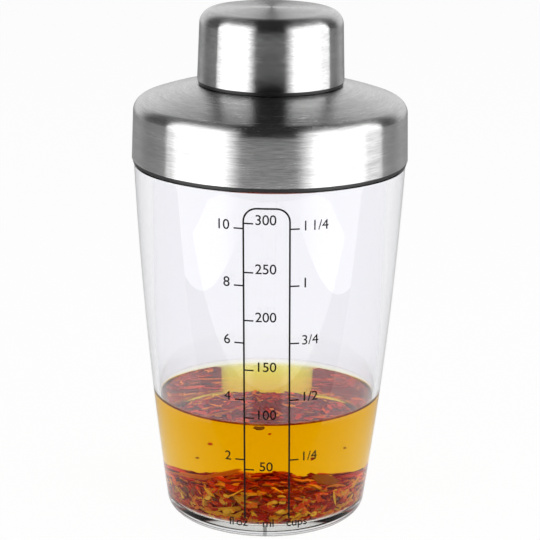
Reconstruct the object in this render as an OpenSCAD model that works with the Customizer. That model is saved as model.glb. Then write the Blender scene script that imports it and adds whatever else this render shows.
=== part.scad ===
// Salad dressing shaker: a clear moulded beaker, a screw lid of drawn steel over a black
// liner with a pouring neck and strainer, and a small screw cap of the same make.
// The origin is the centre of the foot, where the shaker stands. +Z runs up the axis.
// Threads are left off. The room they need is kept between the necks and the liners.

/* [Beaker] */
// Height of the shoulder that the lid comes down to
shoulder_h = 106.3; // [80:0.1:150]
// Diameter at the foot, where the side would meet the table
foot_d = 58.3; // [50:0.1:66]
// How far the side swells past a straight taper, at half height
side_swell = 1.2; // [0:0.1:2.5]
// Wall thickness in the lower half
wall_t = 2.1; // [1.5:0.1:3]
// Thickness of the floor
floor_t = 3.95; // [2.5:0.05:6]
// Outside rounding of the foot
foot_round = 4; // [1:0.5:5]
// Inside rounding between floor and wall
floor_round = 3; // [1:0.5:6]
// Depth of the shallow recess under the foot
recess_depth = 0.8; // [0.3:0.1:1.5]
// Width of the flat ring that the shaker stands on
stand_ring_w = 3.4; // [2:0.1:8]
// Inner diameter of the mouth
mouth_d = 68.4; // [60:0.1:76]
// Draft of the upper inner wall, in degrees
inner_draft = 1.25; // [0.5:0.05:2.5]
// Wall thickness of the neck that the lid screws on
neck_wall = 2.4; // [1.8:0.1:3]
// Height of that neck above the shoulder
neck_h = 11.7; // [9:0.1:16]
// Rounding of the neck's top edges
neck_round = 0.6; // [0.2:0.1:0.9]

/* [Contents] */
// Height of the dressing's surface above the table
fill_h = 36.8; // [24:0.1:90]
// Height of the settled herbs above the table, in the middle
bed_h = 12; // [9:0.1:18]
// How much higher than that the herbs lie at the front wall, and lower at the back wall
bed_tilt = 2.75; // [0:0.05:4]
// How much lower the herbs lie at their two sides
bed_droop = 1.25; // [0:0.05:3]
// Height of the low heaps in the herbs, up and down
heap_h = 0.7; // [0:0.05:1.5]
// Distance between two heaps from side to side
heap_w = 22.5; // [14:0.5:40]
// Distance between two heaps from front to back
heap_d = 19; // [14:0.5:40]

/* [Lid] */
// Radial height of the thread ridges between beaker and lid
lid_thread = 0.9; // [0.6:0.1:1.4]
// Thickness of the liner's skirt at its lower end
skirt_wall = 1.45; // [1.2:0.05:2.5]
// How far the lid stands out past the beaker's shoulder
lid_overhang = 0.6; // [0.2:0.1:1.5]
// Gap between the shoulder and the liner's black rim
rim_gap = 0.35; // [0.2:0.05:1]
// Height of the black rim that shows below the steel
rim_h = 1.15; // [0.6:0.05:3]
// How far the black rim stays back from the steel's face
rim_inset = 0.3; // [0.1:0.05:0.5]
// How far the lid's side leans in from its edge to its corner
lid_taper = 0.5; // [0:0.05:0.8]
// Outside rounding of the lid's corner
lid_corner = 3.5; // [1.5:0.1:4.5]
// Height from the top of the seal to the sharp corner of the lid
lid_headroom = 4.1; // [3:0.1:8]
// Rise of the dome from the corner to the cap's seat
dome_rise = 5.2; // [3.5:0.1:9]
// How far the dome swells past a straight cone
dome_swell = 0.27; // [0.05:0.01:0.5]
// Thickness of the steel
sheet_t = 0.6; // [0.4:0.05:0.8]
// Thickness of the liner's dome and plug
liner_t = 1.5; // [1.1:0.05:2]
// Depth of the plug below the seal's upper face
plug_h = 3.3; // [2.2:0.1:5]
// Gap all round between the plug and the mouth
plug_gap = 0.9; // [0.3:0.1:1.5]
// Thickness of the ring that seals the beaker
lid_seal_t = 1.8; // [1:0.1:3]

/* [Pouring neck] */
// Inner diameter of the pouring neck
spout_bore = 31; // [24:0.1:34]
// Wall thickness of the pouring neck
spout_wall = 2.4; // [1.8:0.1:3]
// Height of the pouring neck above the cap's seat
spout_h = 13.7; // [11:0.1:20]
// Rounding of the pouring edge
spout_round = 0.8; // [0.3:0.1:0.9]
// Depth of the strainer's underside below the pouring edge
strainer_depth = 8.4; // [6:0.1:10]
// Width of the ledge that carries the strainer
ledge_w = 1.2; // [0.8:0.1:2]
// Height of the strainer's side
strainer_h = 3.6; // [2:0.1:5]
// Thickness of the strainer's steel
strainer_t = 0.6; // [0.4:0.05:0.8]
// Diameter of the strainer's holes
hole_d = 2.8; // [1.5:0.1:3.4]
// Distance between the rings of holes
hole_pitch = 4.3; // [4:0.1:6]

/* [Cap] */
// Radial height of the thread ridges between pouring neck and cap
cap_thread = 0.7; // [0.5:0.1:1]
// Thickness of the cap liner's wall at its lower end
cap_wall = 1.6; // [1.4:0.05:2.5]
// Gap between the cap and its seat on the dome
cap_gap = 0.2; // [0.1:0.05:0.6]
// Height of the black rim that shows below the cap's steel
cap_rim_h = 1.1; // [0.6:0.05:2.5]
// How far that rim stays back from the steel's face
cap_rim_inset = 0.3; // [0.1:0.05:0.5]
// How far the cap's side leans in from its edge to its corner
cap_taper = 0.7; // [0:0.05:1]
// Outside rounding of the cap's corner
cap_corner = 3.85; // [1.5:0.05:4.8]
// Rise of the cap's top from the corner to the middle
cap_crown = 0.7; // [0.1:0.1:2]
// Height from the cap liner's plate to the sharp corner of the cap
cap_headroom = 4.3; // [3.5:0.1:8]
// Thickness of the cap liner's plate
plate_t = 1.6; // [1:0.1:2.5]
// Thickness of the disc that seals the pouring neck
cap_seal_t = 1.6; // [1:0.1:2.5]
// Outer diameter of the ring that props up the cap's top
prop_d = 22; // [14:0.5:28]

/* [Fits] */
// Radial room between thread ridges and the wall that they face
thread_gap = 0.3; // [0.2:0.05:0.5]
// Radial room round the two seals and the strainer
seal_gap = 0.1; // [0.05:0.05:0.3]

/* [Hidden] */
$fn = 128;
side_steps = 8;
cavity_steps = 12;
bed_rings = 4;
bed_sectors = 24;
corner_steps = 5;
foot_steps = 6;
// Width of the band over which the two laws of the inner wall blend
wall_blend = 1.5;
// Share of the dome's length that its crown takes up
crown_share = 0.9;

// Radii, from the mouth outwards
mouth_r = mouth_d / 2;
neck_r = mouth_r + neck_wall;
skirt_in_r = neck_r + lid_thread + thread_gap;
lid_r = skirt_in_r + skirt_wall + sheet_t;
rim_r = lid_r - rim_inset;
shoulder_r = lid_r - lid_overhang;
foot_r = foot_d / 2;
recess_r = foot_r - foot_round - stand_ring_w;
plug_r = mouth_r - plug_gap;
plug_in_r = plug_r - liner_t;

// Heights, from the shoulder upwards
neck_top = shoulder_h + neck_h;
rim_z = shoulder_h + rim_gap;
edge_z = rim_z + rim_h;
seal_top = neck_top + lid_seal_t;
plug_z = seal_top - plug_h;
corner_z = seal_top + lid_headroom;
seat_z = corner_z + dome_rise;
spout_top = seat_z + spout_h;
ledge_z = spout_top - strainer_depth;

// Radii of the pouring neck and the cap
bore_r = spout_bore / 2;
spout_r = bore_r + spout_wall;
ledge_r = bore_r - ledge_w;
hole_edge_r = spout_r + cap_thread + seal_gap;
cap_in_r = spout_r + cap_thread + thread_gap;
cap_r = cap_in_r + cap_wall + sheet_t;
cap_rim_r = cap_r - cap_rim_inset;
seat_r = cap_r + cap_gap;

// Heights of the cap
cap_z = seat_z + cap_gap;
cap_edge_z = cap_z + cap_rim_h;
ceiling_z = spout_top + cap_seal_t;
plate_z = ceiling_z + plate_t;
cap_corner_z = plate_z + cap_headroom;
prop_r = prop_d / 2;

// Path tools. A path is a list of [radius, height] or [radius, height, rounding].
function flat(p) = [p[0], p[1]];
function unit(a, b) = (flat(b) - flat(a)) / norm(flat(b) - flat(a));
function left(v) = [-v[1], v[0]];
function turned(v, angle) = [
  v[0] * cos(angle) - v[1] * sin(angle),
  v[0] * sin(angle) + v[1] * cos(angle)
];
function meet(p, u, q, v) = p + u * ((q - p) * left(v)) / (u * left(v));
function at_height(p, q, z) = [p[0] + (q[0] - p[0]) * (z - p[1]) / (q[1] - p[1]), z];
function at_radius(p, q, r) = [r, p[1] + (q[1] - p[1]) * (r - p[0]) / (q[0] - p[0])];
function reversed(path) = [for (i = [len(path) - 1:-1:0]) path[i]];

// One corner of a path, as an arc that is tangent to both of its sides
function corner(path, i, steps) =
  let (p = flat(path[i]), r = path[i][2] == undef ? 0 : path[i][2])
  r == 0 ? [p] :
  let (
    a = unit(path[i - 1], path[i]),
    b = unit(path[i], path[i + 1]),
    turn = atan2(cross(a, b), a * b),
    start = p - a * r * tan(abs(turn) / 2),
    centre = start + left(a) * sign(turn) * r
  )
  [for (k = [0:steps]) centre + turned(start - centre, turn * k / steps)];
function rounded(path, steps = corner_steps) = [
  for (i = [0:len(path) - 1]) each corner(path, i, steps)
];

// A path moved to its left by t, with its corners and their roundings to match
function shifted_point(path, i, t) =
  let (
    last = len(path) - 1,
    a = unit(path[max(i - 1, 0)], path[max(i, 1)]),
    b = unit(path[min(i, last - 1)], path[min(i + 1, last)]),
    p = flat(path[i]),
    moved = abs(cross(a, b)) < 0.0001 ? p + left(a) * t
      : meet(p + left(a) * t, a, p + left(b) * t, b),
    r = path[i][2] == undef ? 0 : path[i][2]
  )
  r == 0 ? moved : [moved[0], moved[1], r - sign(cross(a, b)) * t];
function shifted(path, t) = [for (i = [0:len(path) - 1]) shifted_point(path, i, t)];

// The side of the beaker: a taper with an even swell
function side_r(z) =
  let (t = z / shoulder_h)
  foot_r + (shoulder_r - foot_r) * t + 4 * side_swell * t * (1 - t);
// The cavity keeps an even wall below, and above it runs up to the mouth almost straight
function smooth_min(a, b, w) = min(a, b) - pow(max(0, 1 - abs(a - b) / w), 2) * w / 4;
function cavity_r(z) = smooth_min(
  side_r(z) - wall_t,
  mouth_r - (neck_top - z) * tan(inner_draft),
  wall_blend
);
cavity_start = floor_t + floor_round;
cavity_path = concat(
  [for (k = [0:corner_steps])
    let (angle = 90 * k / corner_steps, z = floor_t + floor_round * (1 - cos(angle)))
    [cavity_r(z) - floor_round * (1 - sin(angle)), z]],
  [for (k = [1:cavity_steps])
    let (z = cavity_start + (neck_top - cavity_start) * k / cavity_steps)
    [cavity_r(z), z]]
);
cavity_table = [for (p = cavity_path) [p[1], p[0]]];
function cavity_at(z) = [lookup(z, cavity_table), z];
function cavity_between(low, high) = [for (p = cavity_path) if (p[1] > low && p[1] < high) p];

// The top of the herbs: they settled towards the front, with low heaps
bed_r = lookup(bed_h, cavity_table);
function bed_top(x, y) =
  bed_h - bed_tilt * y / bed_r - bed_droop * pow(x / bed_r, 2)
  + heap_h * sin(360 * x / heap_w + 40) * cos(360 * y / heap_d + 25);
bed_reach = lookup(fill_h, cavity_table);
bed_spots = [
  for (i = [1:bed_rings], k = [0:bed_sectors - 1])
    let (r = bed_reach * i / bed_rings, angle = 360 * (k + i / 2) / bed_sectors)
    [r * cos(angle), r * sin(angle)]
];

// The outer face of the lid's steel, from its edge up to its hole
dome_foot = [lid_r - lid_taper, corner_z];
dome_head = [seat_r, seat_z];
dome_mid = (dome_foot + dome_head) / 2 - left(unit(dome_foot, dome_head)) * 2 * dome_swell;
crown_turn = atan2(
  cross(unit(dome_foot, dome_mid), unit(dome_mid, dome_head)),
  unit(dome_foot, dome_mid) * unit(dome_mid, dome_head)
);
crown_len = (norm(dome_mid - dome_foot) - lid_corner) * crown_share;
dome_crown = crown_len / tan(crown_turn / 2);
lid_path = [
  [lid_r, edge_z],
  [dome_foot[0], dome_foot[1], lid_corner],
  [dome_mid[0], dome_mid[1], dome_crown],
  dome_head,
  [hole_edge_r, seat_z]
];
lid_under = shifted(lid_path, sheet_t);
lid_under_low = at_height(lid_under[0], lid_under[1], edge_z);
lid_under_arc = rounded(lid_under);
funnel_arc = rounded(shifted(lid_path, sheet_t + liner_t));
function height_on(path, r) = lookup(r, path);

// The outer face of the cap's steel, from its edge up to the axis
cap_path = [
  [cap_r, cap_edge_z],
  [cap_r - cap_taper, cap_corner_z, cap_corner],
  [0, cap_corner_z + cap_crown]
];
cap_under = shifted(cap_path, sheet_t);
cap_under_path = [
  at_height(cap_under[0], cap_under[1], cap_edge_z),
  cap_under[1],
  at_radius(cap_under[1], cap_under[2], 0)
];
cap_under_arc = rounded(cap_under_path);

module turned_solid(path) {
  rotate_extrude() polygon(path);
}

module beaker() {
  underside = [[0, recess_depth], [recess_r, recess_depth], [recess_r + recess_depth, 0]];
  side = [
    for (k = [0:side_steps])
      let (z = shoulder_h * k / side_steps)
      k == 0 ? [foot_r, 0, foot_round] : [side_r(z), z]
  ];
  neck = [
    [neck_r, shoulder_h],
    [neck_r, neck_top, neck_round],
    [mouth_r, neck_top, neck_round]
  ];
  inside = concat(reversed(cavity_between(0, neck_top)), [[0, floor_t]]);
  color([0.86, 0.88, 0.93, 0.35])
    turned_solid(rounded(concat(underside, side, neck, inside), foot_steps));
}

// What fills the beaker up to the dressing's surface
module contents() {
  turned_solid(concat(
    [[0, floor_t]],
    cavity_between(0, fill_h),
    [cavity_at(fill_h), [0, fill_h]]
  ));
}

// A block from the table up to the top of the herbs, which reaches past the wall
module under_bed_top() {
  spots = len(bed_spots);
  rim = spots - bed_sectors;
  function next(n) = n % bed_sectors == bed_sectors - 1 ? n + 1 - bed_sectors : n + 1;
  points = concat(
    [for (p = bed_spots) [p[0], p[1], bed_top(p[0], p[1])]],
    [for (k = [rim:spots - 1]) [bed_spots[k][0], bed_spots[k][1], 0]],
    [[0, 0, bed_top(0, 0)]]
  );
  middle = spots + bed_sectors;
  faces = concat(
    [for (n = [0:bed_sectors - 1]) [middle, next(n), n]],
    [for (n = [0:rim - 1]) [n, next(n), n + bed_sectors]],
    [for (n = [0:rim - 1]) [next(n), next(n) + bed_sectors, n + bed_sectors]],
    [for (n = [rim:spots - 1]) [n, next(n), next(n) + bed_sectors, n + bed_sectors]],
    [[for (n = [spots:middle - 1]) n]]
  );
  polyhedron(points, faces);
}

module herb_bed() {
  color([0.62, 0.24, 0.06])
    intersection() {
      contents();
      under_bed_top();
    }
}

module dressing() {
  color([0.85, 0.6, 0.05, 0.75])
    difference() {
      contents();
      under_bed_top();
    }
}

module lid_seal() {
  color([0.82, 0.83, 0.84])
    translate([0, 0, neck_top])
      difference() {
        cylinder(h = lid_seal_t, r = skirt_in_r - seal_gap);
        translate([0, 0, -1])
          cylinder(h = lid_seal_t + 2, r = plug_r + seal_gap);
      }
}

module lid_shell() {
  color([0.74, 0.74, 0.75])
    turned_solid(concat(
      rounded(lid_path),
      reversed(lid_under_arc),
      [lid_under_low]
    ));
}

// The liner fills the steel from its edge to its hole, with a threaded skirt below, a plug
// that enters the mouth inside the seal, and the pouring neck above
module lid_liner() {
  skirt = [
    [skirt_in_r, rim_z],
    [rim_r, rim_z],
    [rim_r, edge_z],
    lid_under_low
  ];
  dome = [for (p = lid_under_arc) if (p[1] > edge_z && p[0] > hole_edge_r) p];
  neck = [
    [hole_edge_r, seat_z - sheet_t],
    [hole_edge_r, seat_z],
    [spout_r, seat_z],
    [spout_r, spout_top, spout_round],
    [bore_r, spout_top, spout_round],
    [bore_r, ledge_z],
    [ledge_r, ledge_z],
    [ledge_r, height_on(funnel_arc, ledge_r)]
  ];
  funnel = [for (p = reversed(funnel_arc)) if (p[0] > ledge_r && p[0] < plug_in_r) p];
  plug = [
    [plug_in_r, height_on(funnel_arc, plug_in_r)],
    [plug_in_r, plug_z],
    [plug_r, plug_z],
    [plug_r, seal_top],
    [skirt_in_r, seal_top]
  ];
  color([0.07, 0.07, 0.08])
    turned_solid(rounded(concat(skirt, dome, neck, funnel, plug)));
}

// A shallow steel cup on the ledge of the pouring neck, with rings of holes in its floor
module strainer() {
  cup_r = bore_r - seal_gap;
  rings = floor((ledge_r - hole_d) / hole_pitch);
  color([0.7, 0.7, 0.72])
    difference() {
      turned_solid(rounded([
        [0, ledge_z],
        [cup_r, ledge_z, strainer_t * 2],
        [cup_r, ledge_z + strainer_h],
        [cup_r - strainer_t, ledge_z + strainer_h],
        [cup_r - strainer_t, ledge_z + strainer_t, strainer_t],
        [0, ledge_z + strainer_t]
      ]));
      for (ring = [0:rings], k = [1:max(1, 6 * ring)])
        rotate([0, 0, 360 * k / max(1, 6 * ring)])
          translate([ring * hole_pitch, 0, ledge_z - 1])
            cylinder(h = strainer_t + 2, d = hole_d);
    }
}

module cap_seal() {
  color([0.82, 0.83, 0.84])
    translate([0, 0, spout_top])
      cylinder(h = cap_seal_t, r = cap_in_r - seal_gap);
}

// The cap's liner: a threaded wall, a plate over the seal and a ring that props the top
module cap_liner() {
  prop_z = height_on(cap_under_arc, prop_r);
  color([0.07, 0.07, 0.08])
    turned_solid([
      [cap_in_r, cap_z],
      [cap_rim_r, cap_z],
      [cap_rim_r, cap_edge_z],
      cap_under_path[0],
      at_height(cap_under[0], cap_under[1], plate_z),
      [prop_r, plate_z],
      [prop_r, prop_z],
      [prop_r - plate_t, prop_z],
      [prop_r - plate_t, plate_z],
      [0, plate_z],
      [0, ceiling_z],
      [cap_in_r, ceiling_z]
    ]);
}

module cap_shell() {
  color([0.74, 0.74, 0.75])
    turned_solid(concat(rounded(cap_path), reversed(cap_under_arc)));
}

beaker();
dressing();
herb_bed();
lid_seal();
lid_liner();
lid_shell();
strainer();
cap_seal();
cap_liner();
cap_shell();
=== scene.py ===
import bpy
import bmesh
import math
import random
from mathutils import Matrix, Quaternion, Vector, noise


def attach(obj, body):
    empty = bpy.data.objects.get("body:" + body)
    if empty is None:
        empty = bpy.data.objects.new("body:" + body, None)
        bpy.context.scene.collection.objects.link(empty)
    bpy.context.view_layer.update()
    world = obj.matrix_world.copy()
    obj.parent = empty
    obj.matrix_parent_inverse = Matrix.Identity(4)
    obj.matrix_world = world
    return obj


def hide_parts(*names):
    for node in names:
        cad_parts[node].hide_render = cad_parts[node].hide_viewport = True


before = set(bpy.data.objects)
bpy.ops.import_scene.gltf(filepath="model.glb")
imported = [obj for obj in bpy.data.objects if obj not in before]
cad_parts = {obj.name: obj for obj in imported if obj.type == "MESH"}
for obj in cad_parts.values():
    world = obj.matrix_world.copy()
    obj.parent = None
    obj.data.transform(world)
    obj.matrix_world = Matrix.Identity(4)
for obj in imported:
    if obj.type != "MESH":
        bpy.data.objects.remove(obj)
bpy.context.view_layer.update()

# All lengths below are in millimetres, and mm turns them into Blender's metres
mm = 0.001
fullTurn = 2 * math.pi
roundSteps = 256
studio = bpy.context.scene


# Small tools
def clamp(value, low=0.0, high=1.0):
    return max(low, min(high, value))


def drawProfile(points, closed=False, segments=8):
    # Half section in the XZ plane. A point is (radius, height) or (radius, height, rounding)
    shape = bmesh.new()
    verts = [shape.verts.new((point[0] * mm, 0, point[1] * mm)) for point in points]
    for start, end in zip(verts, verts[1:] + (verts[:1] if closed else [])):
        shape.edges.new((start, end))
    for index, point in enumerate(points):
        if len(point) < 3:
            continue
        before = Vector(points[index - 1][:2]) - Vector(point[:2])
        after = Vector(points[(index + 1) % len(points)][:2]) - Vector(point[:2])
        turn = math.pi - before.angle(after)
        bmesh.ops.bevel(
            shape, geom=[verts[index]], offset=point[2] * mm * math.tan(turn / 2),
            offset_type="OFFSET", affect="VERTICES", segments=segments, profile=0.5, material=-1)
    return shape


def divideEdges(shape, longest, within=None):
    for edge in list(shape.edges):
        middle = (edge.verts[0].co + edge.verts[1].co) / 2 / mm
        cuts = math.ceil(edge.calc_length() / (longest * mm) - 0.001) - 1
        if cuts > 0 and (within is None or within(middle.x, middle.z)):
            bmesh.ops.subdivide_edges(shape, edges=[edge], cuts=cuts)


def bendProfile(shape, law):
    # law(radius, height) gives the new radius and height of a point of the half section
    for vert in shape.verts:
        radius, height = law(vert.co.x / mm, vert.co.z / mm)
        vert.co = (radius * mm, 0, height * mm)


def spinProfile(shape, steps=roundSteps):
    # An eighth is spun and then doubled three times, which is quicker than a full spin
    bmesh.ops.spin(
        shape, geom=shape.verts[:] + shape.edges[:], cent=(0, 0, 0), axis=(0, 0, 1),
        angle=fullTurn / 8, steps=steps // 8, use_duplicate=False)
    for share in (8, 4, 2):
        copy = bmesh.ops.duplicate(shape, geom=shape.verts[:] + shape.edges[:] + shape.faces[:])
        bmesh.ops.rotate(
            shape, matrix=Matrix.Rotation(fullTurn / share, 3, "Z"),
            verts=[item for item in copy["geom"] if isinstance(item, bmesh.types.BMVert)])
    bmesh.ops.remove_doubles(shape, verts=shape.verts, dist=0.002 * mm)
    bmesh.ops.recalc_face_normals(shape, faces=shape.faces)
    shape.normal_update()


def cutThread(shape, thread, outwards):
    # Right-hand ridges with several starts, pushed out of a finely ringed wall
    for vert in shape.verts:
        radius = math.hypot(vert.co.x, vert.co.y)
        height = vert.co.z / mm
        low, high = thread["from"], thread["to"]
        if abs(radius / mm - thread["radius"]) > 0.05 or not low <= height <= high:
            continue
        turns = height / thread["lead"] - math.atan2(vert.co.y, vert.co.x) / fullTurn
        place = (turns * thread["starts"] + thread["phase"]) % 1
        offset = abs(place - 0.5) * thread["lead"] / thread["starts"]
        ridge = clamp((thread["width"] / 2 - offset) / thread["flank"])
        fade = clamp(min(height - low, high - height) / thread["runOut"])
        push = thread["ridge"] * mm * ridge * fade * (1 if outwards else -1)
        vert.co.x *= (radius + push) / radius
        vert.co.y *= (radius + push) / radius
    shape.normal_update()


def markWetted(shape, wetness):
    # The given law gives 1 where oil and plastic touch, and less where they don't; on the beaker's
    # outer wall below the oil's level it gives a painted dullness that takes most of the
    # reflection away
    layer = shape.faces.layers.float.new("wettedAndDulled")
    for face in shape.faces:
        middle = face.calc_center_median() / mm
        face[layer] = float(wetness(math.hypot(middle.x, middle.y), middle.z))


def makePiece(name, shape, material, body, nodes=(), sharpAngle=32):
    mesh = bpy.data.meshes.new(name)
    shape.to_mesh(mesh)
    shape.free()
    mesh.materials.append(material)
    mesh.shade_smooth()
    mesh.set_sharp_from_angle(angle=math.radians(sharpAngle))
    piece = bpy.data.objects.new(name, mesh)
    studio.collection.objects.link(piece)
    if nodes:
        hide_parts(*nodes)
    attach(piece, body)
    print("made", name, len(mesh.polygons), "faces")
    return piece


def tint(code):
    # An sRGB hex value as a linear colour
    parts = [int(code[place:place + 2], 16) / 255 for place in (0, 2, 4)]
    return [part / 12.92 if part < 0.04045 else ((part + 0.055) / 1.055) ** 2.4
            for part in parts] + [1]


def addNode(tree, kind, links=None, **settings):
    node = tree.nodes.new("ShaderNode" + kind)
    for setting, value in settings.items():
        setattr(node, setting, value)
    for socket, value in (links or {}).items():
        if isinstance(value, bpy.types.NodeSocket):
            tree.links.new(value, node.inputs[socket])
        else:
            node.inputs[socket].default_value = value
    return node


def newTree(name):
    material = bpy.data.materials.new(name)
    material.use_nodes = True
    material.node_tree.nodes.clear()
    return material, material.node_tree


def rampBetween(tree, factor, stops):
    ramp = addNode(tree, "ValToRGB", {"Fac": factor})
    points = ramp.color_ramp.elements
    while len(points) < len(stops):
        points.new(0.5)
    for point, (position, code) in zip(points, stops):
        point.position = position
    for point, (position, code) in zip(points, stops):
        point.color = tint(code)
    return ramp.outputs["Color"]


# Camera, floor and light
camera = {"lens": 133.98, "distance": 591.2, "elevation": 16.33, "aimHeight": 73.35,
          "shiftX": 0.0031, "roll": 0.75}


def placeCamera():
    lens = bpy.data.cameras.new("photoCamera")
    lens.lens = camera["lens"]
    lens.sensor_width = 36
    lens.shift_x = camera["shiftX"]
    eye = bpy.data.objects.new("photoCamera", lens)
    tilt = math.radians(camera["elevation"])
    back = Vector((0, -math.cos(tilt), math.sin(tilt)))
    eye.location = Vector((0, 0, camera["aimHeight"] * mm)) + back * camera["distance"] * mm
    turn = (-back).to_track_quat("-Z", "Y") @ Quaternion((0, 0, 1), math.radians(camera["roll"]))
    eye.rotation_euler = turn.to_euler()
    studio.collection.objects.link(eye)
    studio.camera = eye


light = {
    "boxRadiance": 2.2, "boxDistance": 800, "boxHeight": 1200, "boxLift": 330,
    "boxes": ((-56.5, 1140, 1), (61.0, 1430, -1)), "boxFade": 0.34,
    "cardLevel": 1.5, "cardNear": 115, "cardFar": 330, "cardWidth": 500,
    "skyPitch": 45, "skyDistance": 900, "skySize": 600, "skyRadiance": 12.0,
    "backLevel": 0.8, "sideLevel": 0.10, "frontLevel": 0.006, "ceilingLevel": 0.03,
    "floorFront": 60, "floorSide": 900, "floorBack": 1700, "floorGlow": 0.94,
    # The painted pool of light round the foot: where it fades out, and how bright it is
    "paintedGlowNear": 50, "paintedGlowFar": 110, "paintedGlowLevel": 0.85,
    "slitInner": 0.010, "slitOuter": 0.015, "slitLevel": 0.3,
}


def seenRay(tree):
    # 1 for a ray that shows the background itself, seen straight on or through clear plastic
    path = addNode(tree, "LightPath")
    return addNode(tree, "Math", {0: path.outputs["Is Camera Ray"],
                                  1: path.outputs["Is Transmission Ray"]},
                   operation="MAXIMUM").outputs[0]


def layFloor():
    shape = bmesh.new()
    bmesh.ops.create_grid(shape, x_segments=1, y_segments=1, size=1)
    depth = light["floorFront"] + light["floorBack"]
    bmesh.ops.scale(shape, vec=(light["floorSide"] * mm, depth / 2 * mm, 1), verts=shape.verts)
    bmesh.ops.translate(
        shape, vec=(0, (light["floorBack"] - light["floorFront"]) / 2 * mm, -0.02 * mm),
        verts=shape.verts)
    mesh = bpy.data.meshes.new("paleFloor")
    shape.to_mesh(mesh)
    shape.free()
    floor = bpy.data.objects.new("paleFloor", mesh)
    studio.collection.objects.link(floor)
    # Matt white board: shows white itself, and keeps part of the shadow that falls on it
    material, tree = newTree("mattWhiteBoard")
    seen = seenRay(tree)
    # Round the foot the board glows for every ray, a painted pool of light that the foot mirrors
    spot = addNode(tree, "NewGeometry").outputs["Position"]
    reach = addNode(tree, "VectorMath", {0: spot}, operation="LENGTH").outputs["Value"]
    paintedGlow = addNode(tree, "MapRange", {
        "Value": reach, "From Min": light["paintedGlowNear"] * mm, "From Max": light["paintedGlowFar"] * mm,
        "To Min": light["paintedGlowLevel"], "To Max": 0.0}).outputs[0]
    seen = addNode(tree, "Math", {0: seen, 1: paintedGlow}, operation="MAXIMUM").outputs[0]
    board = addNode(tree, "BsdfDiffuse", {"Color": tint("F4F4F4")}).outputs[0]
    glow = addNode(tree, "Emission", {"Color": (1, 1, 1, 1), "Strength": 1.02}).outputs[0]
    share = addNode(tree, "Math", {0: seen, 1: light["floorGlow"]}, operation="MULTIPLY")
    blend = addNode(tree, "MixShader", {0: share.outputs[0], 1: board, 2: glow})
    addNode(tree, "OutputMaterial", {"Surface": blend.outputs[0]})
    mesh.materials.append(material)


def hangLamp(name, width, height, radiance, spot, facing):
    lamp = bpy.data.lights.new(name, "AREA")
    lamp.shape = "RECTANGLE"
    lamp.size = width * mm
    lamp.size_y = height * mm
    lamp.energy = radiance * math.pi * lamp.size * lamp.size_y
    box = bpy.data.objects.new(name, lamp)
    box.location = Vector(spot) * mm
    box.rotation_euler = facing.to_track_quat("-Z", "Y").to_euler()
    box.visible_camera = False
    box.visible_transmission = False
    studio.collection.objects.link(box)
    return lamp


def hangLights():
    for turn, width, fadeSide in light["boxes"]:
        angle = math.radians(turn)
        away = Vector((math.sin(angle), -math.cos(angle), 0))
        spot = away * light["boxDistance"] + Vector((0, 0, light["boxLift"]))
        lamp = hangLamp("softbox", width, light["boxHeight"], light["boxRadiance"], spot, -away)
        # The side towards the camera fades out, as cloth does where its lamp stands off centre
        lamp.use_nodes = True
        tree = lamp.node_tree
        tree.nodes.clear()
        across = addNode(tree, "SeparateXYZ", {
            0: addNode(tree, "NewGeometry").outputs["Parametric"]}).outputs["X"]
        inner, full = (1.0, 1.0 - light["boxFade"]) if fadeSide > 0 else (0.0, light["boxFade"])
        level = addNode(tree, "MapRange", {
            "Value": across, "From Min": inner, "From Max": full},
            interpolation_type="SMOOTHSTEP").outputs[0]
        glow = addNode(tree, "Emission", {"Strength": level}).outputs[0]
        addNode(tree, "OutputLight", {"Surface": glow})
    # A lamp high up behind lights the herbs alone, see shineOnHerbs
    pitch = math.radians(light["skyPitch"])
    rise = Vector((0, math.cos(pitch), math.sin(pitch)))
    hangLamp("skyLight", light["skySize"], light["skySize"], light["skyRadiance"],
             rise * light["skyDistance"], -rise)
    bpy.data.objects["skyLight"].visible_glossy = False
    # A white card lies in front and lifts the lower half of the steel
    depth = light["cardFar"] - light["cardNear"]
    hangLamp("whiteCard", light["cardWidth"], depth, light["cardLevel"],
             (0, -(light["cardNear"] + light["cardFar"]) / 2, 0), Vector((0, 0, 1)))


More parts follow.
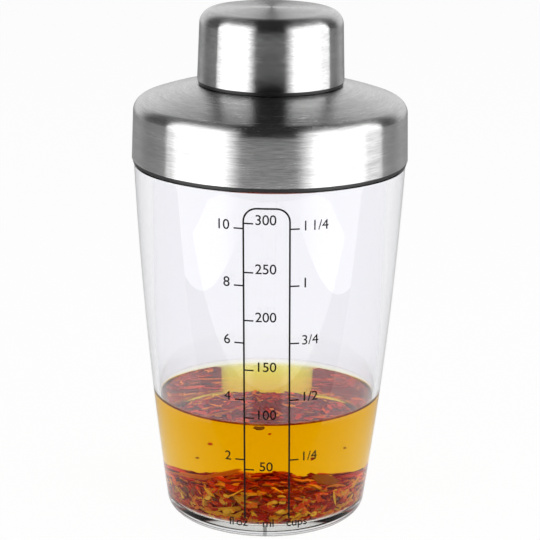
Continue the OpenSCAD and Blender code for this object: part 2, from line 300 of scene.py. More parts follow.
def lightWorld():
    # A white paper backdrop behind the bottle, a dim room in front of it and above
    world = bpy.data.worlds.new("studio")
    studio.world = world
    world.use_nodes = True
    tree = world.node_tree
    tree.nodes.clear()
    towards = addNode(tree, "TexCoord").outputs["Generated"]
    axes = addNode(tree, "SeparateXYZ", {0: towards})
    front = addNode(tree, "MapRange", {
        "Value": axes.outputs["Y"], "From Min": -0.1, "From Max": 0.15,
        "To Min": light["frontLevel"], "To Max": light["sideLevel"]},
        interpolation_type="SMOOTHSTEP").outputs[0]
    paper = addNode(tree, "MapRange", {
        "Value": axes.outputs["Y"], "From Min": 0.5, "From Max": 0.85,
        "To Min": 0.0, "To Max": light["backLevel"] - light["sideLevel"]},
        interpolation_type="SMOOTHSTEP").outputs[0]
    # A narrow dull strip in the middle of the paper, which the oil mirrors between the frame lines
    aside = addNode(tree, "Math", {0: axes.outputs["X"]}, operation="ABSOLUTE").outputs[0]
    strip = addNode(tree, "MapRange", {
        "Value": aside, "From Min": light["slitInner"], "From Max": light["slitOuter"],
        "To Min": light["slitLevel"], "To Max": 1.0}).outputs[0]
    dulled = addNode(tree, "Math", {0: paper, 1: strip}, operation="MULTIPLY").outputs[0]
    back = addNode(tree, "Math", {0: front, 1: dulled}, operation="ADD").outputs[0]
    above = addNode(tree, "MapRange", {
        "Value": axes.outputs["Z"], "From Min": 0.55, "From Max": 0.95},
        interpolation_type="SMOOTHSTEP").outputs[0]
    level = addNode(tree, "Mix", {0: above, 2: back, 3: light["ceilingLevel"]},
                    data_type="FLOAT").outputs[0]
    # Rays that rise, mirrored by the oil, meet the lit paper as the steel does
    low = addNode(tree, "MapRange", {
        "Value": axes.outputs["Z"], "From Min": 0.05, "From Max": 0.12,
        "To Min": 1.0, "To Max": 0.0}).outputs[0]
    seen = addNode(tree, "Math", {0: seenRay(tree), 1: low}, operation="MULTIPLY").outputs[0]
    shown = addNode(tree, "Mix", {0: seen, 2: level, 3: 1.0}, data_type="FLOAT").outputs[0]
    sky = addNode(tree, "Background", {"Color": (1, 1, 1, 1), "Strength": shown})
    addNode(tree, "OutputWorld", {"Surface": sky.outputs[0]})


studio.view_settings.view_transform = "Standard"
placeCamera()
layFloor()
hangLights()
lightWorld()
print("camera, floor and light placed")


# Materials
def letLightThrough(tree, surface):
    # Lamps reach what lies behind clear plastic and oil: their shadow rays pass straight on
    path = addNode(tree, "LightPath")
    clear = addNode(tree, "BsdfTransparent", {"Color": (1, 1, 1, 1)}).outputs[0]
    return addNode(tree, "MixShader", {0: path.outputs["Is Shadow Ray"], 1: surface, 2: clear})


def dryShare(tree):
    # Where oil wets the plastic the two bend light alike, so nothing glints between them. Below
    # the oil's level the dry outer wall has its reflection painted out too
    wettedAndDulled = addNode(tree, "Attribute", attribute_name="wettedAndDulled").outputs["Fac"]
    return addNode(tree, "Math", {0: 1.0, 1: wettedAndDulled}, operation="SUBTRACT").outputs[0]


def mouldedAcrylic():
    # Injection-moulded acrylic: water clear with a breath of lavender at the thick edges
    material, tree = newTree("mouldedAcrylic")
    surface = addNode(tree, "BsdfPrincipled", {
        "Base Color": tint("F9F9FC"), "Roughness": 0.0, "IOR": 1.49,
        "Transmission Weight": 1.0, "Specular Tint": dryShare(tree)}).outputs[0]
    addNode(tree, "OutputMaterial", {"Surface": letLightThrough(tree, surface).outputs[0]})
    return material


def spicedOil():
    # Sunflower oil and vinegar, still and clear: amber because it soaks up blue and some green
    material, tree = newTree("spicedOil")
    surface = addNode(tree, "BsdfPrincipled", {
        "Base Color": (1, 1, 1, 1), "Roughness": 0.0, "IOR": 1.40,
        "Transmission Weight": 1.0, "Specular Tint": dryShare(tree)}).outputs[0]
    depth = addNode(tree, "VolumeAbsorption", {
        "Color": (0.989, 0.945, 0.0, 1), "Density": 290.0}).outputs[0]
    addNode(tree, "OutputMaterial", {
        "Surface": letLightThrough(tree, surface).outputs[0], "Volume": depth})
    return material


def brushedSteel(name, look):
    # Stainless sheet, drawn and then brushed on the lathe: rings of fine lines that smear
    # each lamp across them, into upright bands on the sides and rays on the top
    material, tree = newTree(name)
    place = addNode(tree, "TexCoord").outputs["Object"]
    axes = addNode(tree, "SeparateXYZ", {0: place})
    flat = addNode(tree, "CombineXYZ", {"X": axes.outputs["X"], "Y": axes.outputs["Y"]})
    radius = addNode(tree, "VectorMath", {0: flat.outputs[0]}, operation="LENGTH")
    along = addNode(tree, "Math", {0: axes.outputs["Z"], 1: radius.outputs["Value"]},
                    operation="SUBTRACT")
    heading = addNode(tree, "VectorMath", {0: flat.outputs[0]}, operation="NORMALIZE")

    def lines(spacing, turns, detail):
        # spacing is the distance between lines in mm, turns how often a line changes on its way
        across = addNode(tree, "Math", {0: along.outputs[0], 1: 1 / (spacing * mm)},
                         operation="MULTIPLY")
        rise = addNode(tree, "CombineXYZ", {"Z": across.outputs[0]})
        spread = addNode(tree, "VectorMath", {0: heading.outputs[0], "Scale": turns},
                         operation="SCALE")
        spot = addNode(tree, "VectorMath", {0: spread.outputs[0], 1: rise.outputs[0]},
                       operation="ADD")
        return addNode(tree, "TexNoise", {
            "Vector": spot.outputs[0], "Scale": 1.0, "Detail": detail,
            "Roughness": 0.6}).outputs["Fac"]

    fine = lines(look["lineSpacing"], look["lineTurns"], 3.0)
    broad = lines(look["bandSpacing"], 1.2, 1.0)
    mixed = addNode(tree, "Mix", {0: 0.3, 2: fine, 3: broad}, data_type="FLOAT").outputs[0]
    colour = rampBetween(tree, mixed, [(0.3, look["dark"]), (0.7, look["pale"])])
    rough = addNode(tree, "MapRange", {
        "Value": mixed, "From Min": 0.3, "From Max": 0.7,
        "To Min": look["roughness"] - look["roughSpread"],
        "To Max": look["roughness"] + look["roughSpread"]}).outputs[0]
    grooves = addNode(tree, "Bump", {
        "Strength": look["bump"], "Distance": 0.02 * mm, "Height": fine}).outputs[0]
    tangent = addNode(tree, "Tangent", direction_type="RADIAL", axis="Z").outputs[0]
    surface = addNode(tree, "BsdfPrincipled", {
        "Base Color": colour, "Metallic": 1.0, "Roughness": rough,
        "Anisotropic": look["anisotropic"], "Anisotropic Rotation": look["grainTurn"],
        "Normal": grooves, "Tangent": tangent}).outputs[0]
    addNode(tree, "OutputMaterial", {"Surface": surface})
    return material


def speckled(name, stops, grain, roughness, bump, perPiece=0.0, gloss=0.5, soft=0.0):
    # A mottled matt surface. perPiece mixes in one random tone for each loose bit of the mesh
    material, tree = newTree(name)
    place = addNode(tree, "TexCoord").outputs["Object"]
    mottle = addNode(tree, "TexNoise", {
        "Vector": place, "Scale": 1 / (grain * mm), "Detail": 4.0, "Roughness": 0.6})
    factor = mottle.outputs["Fac"]
    if perPiece:
        bit = addNode(tree, "NewGeometry").outputs["Random Per Island"]
        factor = addNode(tree, "Mix", {0: perPiece, 2: factor, 3: bit},
                         data_type="FLOAT").outputs[0]
    colour = rampBetween(tree, factor, stops)
    relief = addNode(tree, "Bump", {
        "Strength": bump, "Distance": grain * 0.1 * mm,
        "Height": mottle.outputs["Fac"]}).outputs[0]
    surface = addNode(tree, "BsdfPrincipled", {
        "Base Color": colour, "Roughness": roughness, "Normal": relief,
        "Specular IOR Level": gloss, "Subsurface Weight": soft,
        "Subsurface Radius": (1.0, 0.5, 0.3), "Subsurface Scale": 0.6 * mm}).outputs[0]
    addNode(tree, "OutputMaterial", {"Surface": surface})
    return material


steelLook = {"dark": "B4B4B4", "pale": "E2E2E2", "lineSpacing": 0.3, "lineTurns": 9.0,
             "bandSpacing": 2.5, "roughness": 0.25, "roughSpread": 0.03, "bump": 0.3,
             "anisotropic": 1.0, "grainTurn": 0.25}
acrylic = mouldedAcrylic()
oil = spicedOil()
lidSteel = brushedSteel("brushedStainlessLid", steelLook)
capSteel = brushedSteel("brushedStainlessCap", {**steelLook, "roughness": 0.24})
strainerSteel = brushedSteel("satinStainlessStrainer", {
    **steelLook, "roughness": 0.3, "anisotropic": 0.4, "bump": 0.1})
# Moulded black polypropylene: a fine spark-eroded grain that takes the edge off its gloss
blackPolypropylene = speckled(
    "mouldedPolypropylene", [(0.3, "0C0C0D"), (0.7, "17171A")], 0.35, 0.38, 0.3)
# Food-grade silicone: milky, soft edged and a little dull
milkySilicone = speckled(
    "foodSilicone", [(0.3, "C9CBCC"), (0.7, "DCDDDD")], 1.2, 0.45, 0.15, soft=0.4)
# Screen-printed black ink: slightly satin, with the weave of the screen in it
printInk = speckled(
    "screenPrintInk", [(0.3, "070606"), (0.7, "0E0C0D")], 0.3, 0.5, 0.2, gloss=0.15)
# Crushed dried chilli: leathery flakes from orange to deep red
driedChilli = speckled(
    "driedChilli", [(0.15, "6E0A04"), (0.42, "A81C06"), (0.66, "CC420A"), (0.88, "E08412")],
    0.9, 0.5, 0.6, perPiece=0.65, gloss=0.1)
# Chilli and mustard seeds: smooth, straw to amber
driedSeed = speckled(
    "driedSeed", [(0.2, "A86008"), (0.5, "D8981C"), (0.85, "E8B83C")],
    1.4, 0.45, 0.3, perPiece=0.6, gloss=0.15)
# Dried oregano and basil: crumpled, olive to brown
driedLeaf = speckled(
    "driedLeaf", [(0.2, "5A2A0C"), (0.5, "98561A"), (0.85, "B87C2A")],
    0.8, 0.6, 0.7, perPiece=0.6, gloss=0.1)
# Dried onion and garlic: papery slivers that the oil has dyed yellow
driedOnion = speckled(
    "driedOnion", [(0.2, "A8600A"), (0.5, "D08C12"), (0.85, "E4AC2A")],
    1.6, 0.5, 0.3, perPiece=0.5, gloss=0.15, soft=0.2)
# Ground paprika settled between the flakes as a dark paste: its darkest tones are painted shade,
# standing in for the shade in the gaps between flakes and on the bed's top
paprikaWithPaintedShade = speckled(
    "paprikaWithPaintedShade", [(0.3, "3C0A08"), (0.5, "741408"), (0.65, "96280A"), (0.8, "B0540C")],
    0.7, 0.7, 1.0, gloss=0.05)
print("materials mixed")


# The beaker
beaker = {
    "shoulderHeight": 106.3, "shoulderRadius": 39.25, "footRadius": 29.15, "swell": 1.2,
    "footRound": 4.0, "recessRadius": 21.75, "recessDepth": 0.8, "floor": 3.95,
    "floorRound": 3.0, "wall": 2.1, "mouthRadius": 34.2, "draft": 1.25, "wallBlend": 1.5,
    "neckRadius": 36.6, "neckTop": 118.0, "neckRound": 0.6, "edgeRound": 0.35,
    "guide": 24.0, "ringEvery": 2.2, "paintedDullOutside": 0.94,
}
beakerThread = {"radius": 36.6, "from": 107.6, "to": 116.8, "lead": 16.0, "starts": 4,
                "phase": 0.0, "width": 1.7, "flank": 0.5, "ridge": 0.88, "runOut": 1.2}


def sideRadius(height):
    share = height / beaker["shoulderHeight"]
    taper = (beaker["shoulderRadius"] - beaker["footRadius"]) * share
    return beaker["footRadius"] + taper + 4 * beaker["swell"] * share * (1 - share)


def cavityRadius(height):
    # An even wall in the lower half, then almost straight up to the mouth
    low = sideRadius(height) - beaker["wall"]
    high = beaker["mouthRadius"] - (beaker["neckTop"] - height) * math.tan(
        math.radians(beaker["draft"]))
    blend = max(0, 1 - abs(low - high) / beaker["wallBlend"]) ** 2 * beaker["wallBlend"] / 4
    return min(low, high) - blend


def insideRadius(height):
    # The cavity with its rounded floor corner
    rise = clamp((height - beaker["floor"]) / beaker["floorRound"])
    return cavityRadius(height) - beaker["floorRound"] * (1 - math.sqrt(1 - (1 - rise) ** 2))


def leanOnCavity(radius, height):
    # The cavity is drawn upright at the guide radius, and then leans as the real wall does
    share = clamp(radius / (beaker["guide"] - beaker["floorRound"]))
    return radius + share * (cavityRadius(height) - beaker["guide"])


def makeBeaker():
    b = beaker
    shape = drawProfile([
        (0, b["recessDepth"]), (b["recessRadius"], b["recessDepth"]),
        (b["recessRadius"] + b["recessDepth"], 0), (b["footRadius"], 0, b["footRound"]),
        (b["shoulderRadius"], b["shoulderHeight"], b["edgeRound"]),
        (b["neckRadius"], b["shoulderHeight"]), (b["neckRadius"], b["neckTop"], b["neckRound"]),
        (b["guide"], b["neckTop"], b["neckRound"]), (b["guide"], b["floor"], b["floorRound"]),
        (0, b["floor"]),
    ], segments=10)
    divideEdges(shape, b["ringEvery"], lambda r, z: z < b["neckTop"] - 0.2)
    divideEdges(shape, 0.26, lambda r, z: abs(r - b["neckRadius"]) < 0.01
                and b["shoulderHeight"] < z < b["neckTop"])

    def lean(radius, height):
        if radius < b["guide"] + 0.7 and height > b["floor"] - 0.01:
            return leanOnCavity(radius, height), height
        if radius > b["guide"] + 0.7 and height <= b["shoulderHeight"]:
            straight = (b["shoulderRadius"] - b["footRadius"]) * height / b["shoulderHeight"]
            return radius + sideRadius(height) - b["footRadius"] - straight, height
        return radius, height

    bendProfile(shape, lean)
    spinProfile(shape)
    cutThread(shape, beakerThread, True)

    def wetness(radius, height):
        if height > dressing["level"]:
            return 0.0
        inside = height > b["floor"] - 0.01 and radius < insideRadius(height) + 0.3
        # Below the oil's level the outer wall is dry, and most of its reflection is painted out
        return 1.0 if inside else b["paintedDullOutside"]

    markWetted(shape, wetness)
    return makePiece("beakerBody", shape, acrylic, "bottle", ["beaker"])


# The dressing
dressing = {"level": 36.5, "creep": 1.3, "curl": 1.6, "soak": 0.12, "film": 0.03}


def makeDressing():
    d = dressing
    wall = beaker["guide"]
    shape = drawProfile([
        (0, beaker["floor"] - d["soak"]),
        (wall + d["soak"], beaker["floor"] - d["soak"], beaker["floorRound"] + d["soak"]),
        (wall + d["soak"], d["level"] + d["creep"]),
        (wall - d["film"], d["level"] + d["creep"]),
        (wall - d["film"], d["level"], d["curl"] * 0.8), (0, d["level"]),
    ], segments=12)
    divideEdges(shape, 2.0)
    bendProfile(shape, lambda radius, height: (leanOnCavity(radius, height), height))
    spinProfile(shape)
    markWetted(shape, lambda radius, height: height < beaker["floor"]
               or radius > insideRadius(height) + d["soak"] / 2)
    return makePiece("dressingOil", shape, oil, "bottle", ["dressing"], 60)


makeBeaker()
makeDressing()


# The settled herbs
herbs = {
    "seed": 11, "bedTop": 12.0, "tilt": 2.75, "droop": 1.25, "heap": 0.7, "wallGap": 0.75,
    "heapWide": 22.5, "heapDeep": 19.0, "clear": 0.16,
    # How far the loose bits lie below that height, in front and at the back
    "sinkFront": 0.7, "sinkBack": 2.4, "nearWall": 0.78, "wallSpin": 0.55,
    "chilliFlakes": {"count": 1050, "size": (0.8, 2.7), "thick": (0.2, 0.4), "slim": (0.22, 0.55)},
    "leafBits": {"count": 120, "size": (0.8, 2.2), "thick": (0.12, 0.22), "slim": (0.25, 0.6)},
    "onionBits": {"count": 260, "size": (1.2, 3.6), "thick": (0.25, 0.5), "slim": (0.16, 0.34)},
    "herbSeeds": {"count": 110, "size": (1.0, 1.5)},
    # A heap of flakes at the back, and how far it spreads and rises
    "pile": {"spot": (1.2, 20.5), "spread": 2.4, "rise": 2.2, "count": 90},
    # Single bits: piece, x, y, z, half length, slimness, and turn, slope and tilt in degrees
    "singles": (
        ("onionBits", -12.5, 3.5, 10.9, 10.0, 0.04, 41, 0, 0),
        ("onionBits", -6.0, 21.0, 8.9, 2.2, 0.2, 20, 0, 10),
        ("onionBits", -3.0, 23.0, 8.9, 2.0, 0.22, -30, 0, 15),
        ("onionBits", 10.0, 16.0, 9.6, 3.0, 0.15, 10, 0, 0),
        ("leafBits", 14.4, -10.0, 14.3, 3.7, 0.42, 5, 20, 62),
        ("leafBits", -2.0, -29.2, 35.4, 1.8, 0.45, 5, 0, 30),
        ("leafBits", -19.0, -22.3, 23.3, 0.8, 0.4, 20, 0, 70),
        ("leafBits", 21.7, -19.6, 26.0, 0.6, 0.5, 0, 0, 60),
        ("chilliFlakes", -15.4, -25.4, 28.9, 1.0, 0.45, 5, 0, 70),
        ("chilliFlakes", 0.9, -29.4, 33.8, 0.6, 0.5, 30, 0, 60),
        ("chilliFlakes", 6.5, -28.4, 30.5, 0.3, 0.6, 0, 0, 60),
        ("chilliFlakes", 12.7, -26.0, 25.0, 0.9, 0.6, 60, 0, 80),
    ),
}
draw = random.Random(herbs["seed"])


def bedHeight(x, y):
    # Height of the herbs over a point of the floor: they lie deepest in front, in low heaps
    h = herbs
    wall = insideRadius(h["bedTop"])
    heaps = math.sin(fullTurn * x / h["heapWide"] + math.radians(40)) * math.cos(
        fullTurn * y / h["heapDeep"] + math.radians(25))
    return h["bedTop"] - h["tilt"] * y / wall - h["droop"] * (x / wall) ** 2 + h["heap"] * heaps


def looseTop(x, y):
    # Where the loose bits on top of the bed lie
    share = clamp(0.5 + y / insideRadius(herbs["bedTop"]) / 2)
    return bedHeight(x, y) - herbs["sinkFront"] - (herbs["sinkBack"] - herbs["sinkFront"]) * share


def makePaste():
    wall = beaker["guide"]
    gap = herbs["wallGap"]
    low = beaker["floor"] + 0.25
    shape = drawProfile([
        (0, low), (wall - gap, low, beaker["floorRound"]), (wall - gap, 12.0, 0.8), (0, 12.0)])
    divideEdges(shape, 0.9)
    bendProfile(shape, lambda radius, height: (leanOnCavity(radius, height), height))
    spinProfile(shape, 128)
    for vert in shape.verts:
        x, y, z = vert.co / mm
        lift = clamp((z - low) / (12.0 - low))
        lumps = noise.noise(Vector((x, y, z)) * 0.55) * 0.4
        radius = math.hypot(x, y)
        if radius > 0.01:
            radius = min(radius, radius - 0.25 + lumps) if radius > 20 else radius
            direction = Vector((x, y)).normalized()
            x, y = direction * radius
        vert.co = Vector((x, y, z + lift * (looseTop(x, y) - 0.5 - 12.0 + lumps))) * mm
    shape.normal_update()
    return makePiece("settledPaprika", shape, paprikaWithPaintedShade, "bottle", ["herb_bed"], 60)


def keepInside(verts):
    # Nothing pokes through the plastic: bits that would are pressed against it
    for vert in verts:
        z = max(vert.co.z / mm, beaker["floor"] + herbs["clear"])
        limit = insideRadius(z) - herbs["clear"]
        radius = math.hypot(vert.co.x, vert.co.y) / mm
        if radius > limit:
            vert.co.x *= limit / radius
            vert.co.y *= limit / radius
        vert.co.z = z * mm


def layPlace(size, nearWall):
    # A spot in the bed and the way a flake lies there
    angle = draw.uniform(0, fullTurn)
    if nearWall:
        top = looseTop(28 * math.cos(angle), 28 * math.sin(angle))
        z = draw.uniform(beaker["floor"] + 0.2, top - size * 0.3)
        radius = insideRadius(z) - draw.uniform(0.2, 1.3)
        tilt = Matrix.Rotation(angle + draw.gauss(0, 0.3), 4, "Z") @ Matrix.Rotation(
            math.pi / 2 + draw.gauss(0, 0.45), 4, "Y")
    else:
        radius = 28.0 * math.sqrt(draw.random())
        x, y = radius * math.cos(angle), radius * math.sin(angle)
        z = looseTop(x, y) - 0.1 + abs(draw.gauss(0, 0.2))
        tilt = Matrix.Rotation(angle, 4, "Z") @ Matrix.Rotation(draw.gauss(0, 0.25), 4, "Y")
        tilt = tilt @ Matrix.Rotation(draw.gauss(0, 0.25), 4, "X")
    # Against the wall most of them lie lengthwise
    heading = math.pi / 2 + draw.gauss(0, herbs["wallSpin"])
    spin = Matrix.Rotation(heading if nearWall else draw.uniform(0, fullTurn), 4, "Z")
    spot = Vector((radius * math.cos(angle), radius * math.sin(angle), z)) * mm
    return Matrix.Translation(spot) @ tilt @ spin


def addFlake(shape, place, size, thick, slim=0.7, corners=7):
    # A torn flat bit: a jittered outline, curled a little, with its own thickness
    bit = bmesh.new()
    made = bmesh.ops.create_circle(bit, cap_ends=True, segments=corners, radius=size * mm)
    curl = draw.uniform(-0.25, 0.25)
    for vert in made["verts"]:
        vert.co.x *= draw.uniform(0.75, 1.15)
        vert.co.y *= slim * draw.uniform(0.75, 1.15)
        vert.co.z = curl * (vert.co.x ** 2) / (size * mm) + draw.uniform(-0.06, 0.06) * size * mm
    faces = bmesh.ops.poke(bit, faces=bit.faces)["faces"]
    raised = bmesh.ops.extrude_face_region(bit, geom=faces)["geom"]
    top = [item for item in raised if isinstance(item, bmesh.types.BMVert)]
    bmesh.ops.translate(bit, verts=top, vec=(0, 0, thick * mm))
    for vert in top:
        vert.co.x *= 0.9
        vert.co.y *= 0.9
    bmesh.ops.recalc_face_normals(bit, faces=bit.faces)
    bmesh.ops.transform(bit, matrix=place, verts=bit.verts)
    keepInside(bit.verts)
    joinBit(shape, bit)


def addSeed(shape, place, size):
    # A flat oval seed
    bit = bmesh.new()
    bmesh.ops.create_uvsphere(bit, u_segments=8, v_segments=5, radius=size * mm)
    bmesh.ops.scale(bit, vec=(1.0, draw.uniform(0.55, 0.8), 0.32), verts=bit.verts)
    bmesh.ops.transform(bit, matrix=place, verts=bit.verts)
    keepInside(bit.verts)
    joinBit(shape, bit)


def placeSingle(x, y, z, turn, slope, tilt):
    lie = Matrix.Rotation(math.radians(slope), 4, "Y") @ Matrix.Rotation(
        math.radians(tilt), 4, "X")
    return Matrix.Translation(Vector((x, y, z)) * mm) @ Matrix.Rotation(
        math.radians(turn), 4, "Z") @ lie


def joinBit(shape, bit):
    loose = bpy.data.meshes.new("bit")
    bit.to_mesh(loose)
    bit.free()
    shape.from_mesh(loose)
    bpy.data.meshes.remove(loose)


def heapFlakes(shape):
    pile = herbs["pile"]
    for index in range(pile["count"]):
        dx, dy = draw.gauss(0, pile["spread"]), draw.gauss(0, pile["spread"] * 0.6)
        x, y = pile["spot"][0] + dx, pile["spot"][1] + dy
        fall = math.exp(-(dx * dx + dy * dy) / (pile["spread"] ** 2))
        z = looseTop(x, y) + pile["rise"] * fall * draw.uniform(0.2, 1.0)
        addFlake(shape, placeSingle(x, y, z, draw.uniform(0, 360), 0, draw.gauss(0, 25)),
                 draw.uniform(0.7, 1.6), 0.3, draw.uniform(0.3, 0.6))


def makeHerbs():
    made = []
    for name, material in (("chilliFlakes", driedChilli), ("leafBits", driedLeaf),
                           ("onionBits", driedOnion), ("herbSeeds", driedSeed)):
        kind = herbs[name]
        shape = bmesh.new()
        for index in range(kind["count"]):
            size = draw.uniform(*kind["size"])
            place = layPlace(size, draw.random() < herbs["nearWall"])
            if name == "herbSeeds":
                addSeed(shape, place, size)
            else:
                addFlake(shape, place, size, draw.uniform(*kind["thick"]),
                         draw.uniform(*kind["slim"]))
        for piece, x, y, z, size, slim, turn, slope, tilt in herbs["singles"]:
            if piece == name:
                addFlake(shape, placeSingle(x, y, z, turn, slope, tilt), size, 0.3, slim, 14)
        if name == "chilliFlakes":
            heapFlakes(shape)
        made.append(makePiece(name, shape, material, "bottle", (), 40))
    return made


def shineOnHerbs(pieces):
    lit = bpy.data.collections.new("litHerbs")
    for piece in pieces:
        lit.objects.link(piece)
    bpy.data.objects["skyLight"].light_linking.receiver_collection = lit


shineOnHerbs([makePaste()] + makeHerbs())


# The printed scale
scale = {
    "halfWidth": 6.65, "top": 102.3, "bottom": 7.1, "corner": 4.0, "line": 0.5,
    "ink": 0.06, "tick": 2.73, "tickLine": 0.42, "digit": 2.87, "numberRise": 0.95,
    "millilitres": {300: 97.7, 250: 83.5, 200: 69.3, 150: 54.3, 100: 39.5, 50: 23.1},
    "ounces": {"10": 96.2, "8": 79.6, "6": 62.5, "4": 45.1, "2": 26.2},
    "cups": {"1 1/4": 96.2, "1": 79.6, "3/4": 62.5, "1/2": 45.1, "1/4": 26.2},
    "units": (("fl oz", -8.4), ("ml", 0.4), ("cups", 8.8)), "unitHeight": 4.6,
    # The print sits a little askew: sideways shift per mm of height, none at the last height
    "lean": 0.013, "leanFrom": 48.6, "spacing": 0.98, "weight": 0.022,
}


def wrapOnBeaker(shape):
    # x runs round the beaker, z up, and y is how far a point stands off its side
    for vert in shape.verts:
        height = vert.co.z / mm
        radius = (sideRadius(height) - vert.co.y / mm) * mm
        across = vert.co.x / mm + scale["lean"] * (scale["leanFrom"] - height)
        angle = across / sideRadius(height)
        vert.co = (radius * math.sin(angle), -radius * math.cos(angle), vert.co.z)


def addWords(shape, words, x, z, height, anchor):
    curve = bpy.data.curves.new("words", "FONT")
    curve.body = words
    curve.align_x = anchor
    # Made bolder, a 4 would lose its hole
    curve.offset = 0 if "4" in words else scale["weight"]
    curve.space_character = scale["spacing"]
    curve.space_word = 0.6
    curve.size = height / 0.7
    letters = bpy.data.objects.new("words", curve)
    studio.collection.objects.link(letters)
    flat = bpy.data.meshes.new_from_object(
        letters.evaluated_get(bpy.context.evaluated_depsgraph_get()))
    bpy.data.objects.remove(letters)
    word = bmesh.new()
    word.from_mesh(flat)
    bmesh.ops.transform(word, verts=word.verts, matrix=Matrix.Translation(
        (x * mm, 0, z * mm)) @ Matrix.Rotation(math.pi / 2, 4, "X") @ Matrix.Scale(mm, 4))
    raised = bmesh.ops.extrude_face_region(word, geom=word.faces[:])["geom"]
    bmesh.ops.translate(word, vec=(0, -scale["ink"] * mm, 0), verts=[
        item for item in raised if isinstance(item, bmesh.types.BMVert)])
    bmesh.ops.recalc_face_normals(word, faces=word.faces)
    joinBit(shape, word)


def addBar(shape, x, z, width, height):
    bar = bmesh.new()
    bmesh.ops.create_cube(bar, size=1)
    bmesh.ops.scale(bar, vec=(width * mm, scale["ink"] * mm, height * mm), verts=bar.verts)
    bmesh.ops.translate(
        bar, vec=(x * mm, -scale["ink"] / 2 * mm, z * mm), verts=bar.verts)
    bmesh.ops.subdivide_edges(
        bar, edges=[edge for edge in bar.edges if abs(
            edge.verts[0].co.x - edge.verts[1].co.x) > width * 0.9 * mm], cuts=3)
    joinBit(shape, bar)


def makeScale():
    s = scale
    half = s["halfWidth"]
    outline = drawProfile([
        (-half, s["bottom"]), (-half, s["top"], s["corner"]), (half, s["top"], s["corner"]),
        (half, s["bottom"])], segments=8)
    divideEdges(outline, 1.5)
    ribbon = bmesh.ops.extrude_edge_only(outline, edges=outline.edges[:])["geom"]
    bmesh.ops.translate(outline, vec=(0, -s["ink"] * mm, 0), verts=[
        item for item in ribbon if isinstance(item, bmesh.types.BMVert)])
    bmesh.ops.recalc_face_normals(outline, faces=outline.faces)
    bmesh.ops.solidify(outline, geom=outline.faces[:], thickness=s["line"] * mm)
    shape = bmesh.new()
    joinBit(shape, outline)
    low = s["digit"] / 2 - s["numberRise"]
    for number, z in s["millilitres"].items():
        addBar(shape, -half + 0.25 + s["tick"] / 2, z, s["tick"], s["tickLine"])
        addWords(shape, str(number), -0.25, z - low + 0.2, s["digit"], "CENTER")
    for words, z in s["ounces"].items():
        addBar(shape, -half + 0.25 - s["tick"] / 2, z, s["tick"], s["tickLine"])
        addWords(shape, words, -half - 3.6, z - low, s["digit"], "RIGHT")
    for words, z in s["cups"].items():
        addBar(shape, half - 0.25 + s["tick"] / 2, z, s["tick"], s["tickLine"])
        addWords(shape, words, half + 3.1, z - low, s["digit"], "LEFT")
    for words, x in s["units"]:
        addWords(shape, words, x, s["unitHeight"], s["digit"] * 0.88, "CENTER")
    wrapOnBeaker(shape)
    bmesh.ops.recalc_face_normals(shape, faces=shape.faces)
    return makePiece("measuringScale", shape, printInk, "bottle", (), 30)


makeScale()


# The lid
lid = {
    "edge": 107.8, "radius": 39.85, "footRadius": 39.35, "corner": 123.9, "cornerRound": 3.5,
    "crownRadius": 30.4745, "crownHeight": 127.0189, "crownReach": 5.316,
    "seatRadius": 21.3, "seat": 129.1, "hole": 18.7, "sheet": 0.6, "ringEvery": 1.4,
    "seatRound": 0.8,
}
liner = {
    "rim": 106.65, "rimRadius": 39.55, "rimRound": 0.25, "skirt": 37.8, "sealTop": 119.8,
    "plugRadius": 33.3, "plugInside": 31.8, "plugEnd": 116.5, "spout": 17.9, "bore": 15.5,
    "spoutTop": 142.8, "spoutRound": 0.8, "ledge": 134.4, "ledgeRadius": 14.3,
}
skirtThread = {**beakerThread, "radius": 37.8, "from": 107.4, "to": 117.2, "phase": 0.5}
spoutThread = {"radius": 17.9, "from": 131.0, "to": 141.2, "lead": 9.0, "starts": 3,
               "phase": 0.0, "width": 1.3, "flank": 0.4, "ridge": 0.68, "runOut": 1.0}
capThread = {**spoutThread, "radius": 18.9, "from": 130.4, "to": 141.4, "phase": 0.5}


def makeLidShell():
    l = lid
    mid = Vector((l["crownRadius"], l["crownHeight"]))
    turn = math.pi - (Vector((l["footRadius"], l["corner"])) - mid).angle(
        Vector((l["seatRadius"], l["seat"])) - mid)
    shape = drawProfile([
        (l["radius"], l["edge"]), (l["footRadius"], l["corner"], l["cornerRound"]),
        (l["crownRadius"], l["crownHeight"], l["crownReach"] / math.tan(turn / 2)),
        (l["seatRadius"], l["seat"], l["seatRound"]), (l["hole"], l["seat"])], segments=14)
    divideEdges(shape, l["ringEvery"])
    spinProfile(shape)
    bmesh.ops.solidify(shape, geom=shape.faces[:], thickness=l["sheet"] * mm)
    return makePiece("lidShell", shape, lidSteel, "lid", ["lid_shell"])


def makeLidLiner():
    n = liner
    shape = drawProfile([
        (n["skirt"], n["rim"]), (n["rimRadius"], n["rim"], n["rimRound"]),
        (n["rimRadius"], 107.8), (39.24, 107.8), (38.753, 123.46, 2.9), (30.3, 126.43),
        (21.2, 128.49), (18.7, 128.49), (18.7, 129.1), (n["spout"], 129.1),
        (n["spout"], n["spoutTop"], n["spoutRound"]), (n["bore"], n["spoutTop"], n["spoutRound"]),
        (n["bore"], n["ledge"]), (n["ledgeRadius"], n["ledge"]), (n["ledgeRadius"], 127.0),
        (21.065, 127.0), (29.892, 124.998), (n["plugInside"], 124.33),
        (n["plugInside"], n["plugEnd"]), (n["plugRadius"], n["plugEnd"], 0.4),
        (n["plugRadius"], n["sealTop"]), (n["skirt"], n["sealTop"]),
    ], closed=True)
    divideEdges(shape, 0.26, lambda r, z: abs(r - n["skirt"]) < 0.01 and z < n["sealTop"])
    divideEdges(shape, 0.24, lambda r, z: abs(r - n["spout"]) < 0.01 and z > 129.2)
    spinProfile(shape)
    cutThread(shape, skirtThread, False)
    cutThread(shape, spoutThread, True)
    return makePiece("lidLiner", shape, blackPolypropylene, "lid", ["lid_liner"])


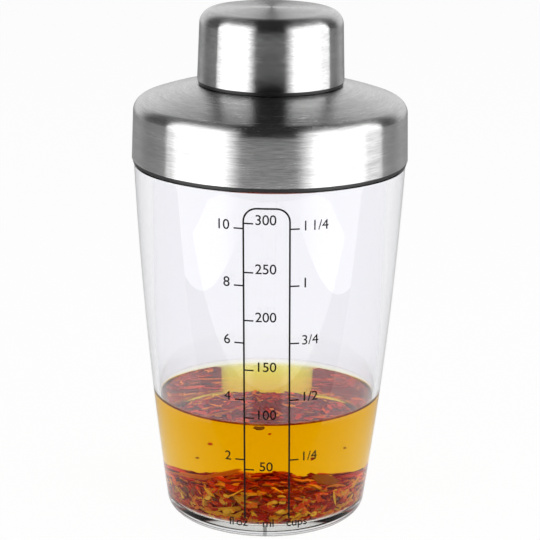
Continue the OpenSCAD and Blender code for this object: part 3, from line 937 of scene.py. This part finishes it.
def makeSeals():
    ring = drawProfile([
        (33.4, 118.0, 0.35), (37.7, 118.0, 0.35), (37.7, 119.8, 0.35), (33.4, 119.8, 0.35)],
        closed=True, segments=4)
    spinProfile(ring, 160)
    makePiece("lidSeal", ring, milkySilicone, "lid_seal", ["lid_seal"])
    disc = drawProfile([
        (0, 142.8), (18.8, 142.8, 0.35), (18.8, 144.4, 0.35), (0, 144.4)], segments=4)
    divideEdges(disc, 3.0)
    spinProfile(disc, 128)
    makePiece("capSeal", disc, milkySilicone, "cap_seal", ["cap_seal"])


def finishStrainer():
    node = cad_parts["strainer"]
    node.data.materials.clear()
    node.data.materials.append(strainerSteel)


makeLidShell()
makeLidLiner()
makeSeals()
finishStrainer()


# The cap
cap = {"edge": 130.4, "radius": 21.1, "topRadius": 20.4, "corner": 150.3, "cornerRound": 3.85,
       "apex": 151.0, "sheet": 0.6, "rim": 129.3, "rimRadius": 20.8, "inside": 18.9,
       "ceiling": 144.4, "plate": 146.0, "ringEvery": 1.4}


def makeCapShell():
    c = cap
    shape = drawProfile([
        (c["radius"], c["edge"]), (c["topRadius"], c["corner"], c["cornerRound"]),
        (0, c["corner"])], segments=16)
    divideEdges(shape, c["ringEvery"])
    crown = c["apex"] - c["corner"]
    bendProfile(shape, lambda radius, height: (radius, height + crown * (
        1 - (radius / c["topRadius"]) ** 2) * clamp((height - 145) / 5.3)))
    spinProfile(shape)
    bmesh.ops.solidify(shape, geom=shape.faces[:], thickness=c["sheet"] * mm)
    return makePiece("capShell", shape, capSteel, "cap", ["cap_shell"])


def makeCapLiner():
    c = cap
    shape = drawProfile([
        (c["inside"], c["rim"]), (c["rimRadius"], c["rim"], 0.25), (c["rimRadius"], c["edge"]),
        (20.49, c["edge"]), (19.94, c["plate"]), (11.0, c["plate"]), (11.0, 149.95),
        (9.4, 150.0), (9.4, c["plate"]), (0, c["plate"]), (0, c["ceiling"]),
        (c["inside"], c["ceiling"]),
    ], closed=True)
    axis = [edge for edge in shape.edges if all(vert.co.x < 1e-6 for vert in edge.verts)]
    bmesh.ops.delete(shape, geom=axis, context="EDGES")
    divideEdges(shape, 0.24, lambda r, z: abs(r - c["inside"]) < 0.01 and z < c["ceiling"])
    spinProfile(shape)
    cutThread(shape, capThread, False)
    return makePiece("capLiner", shape, blackPolypropylene, "cap", ["cap_liner"])


makeCapShell()
makeCapLiner()
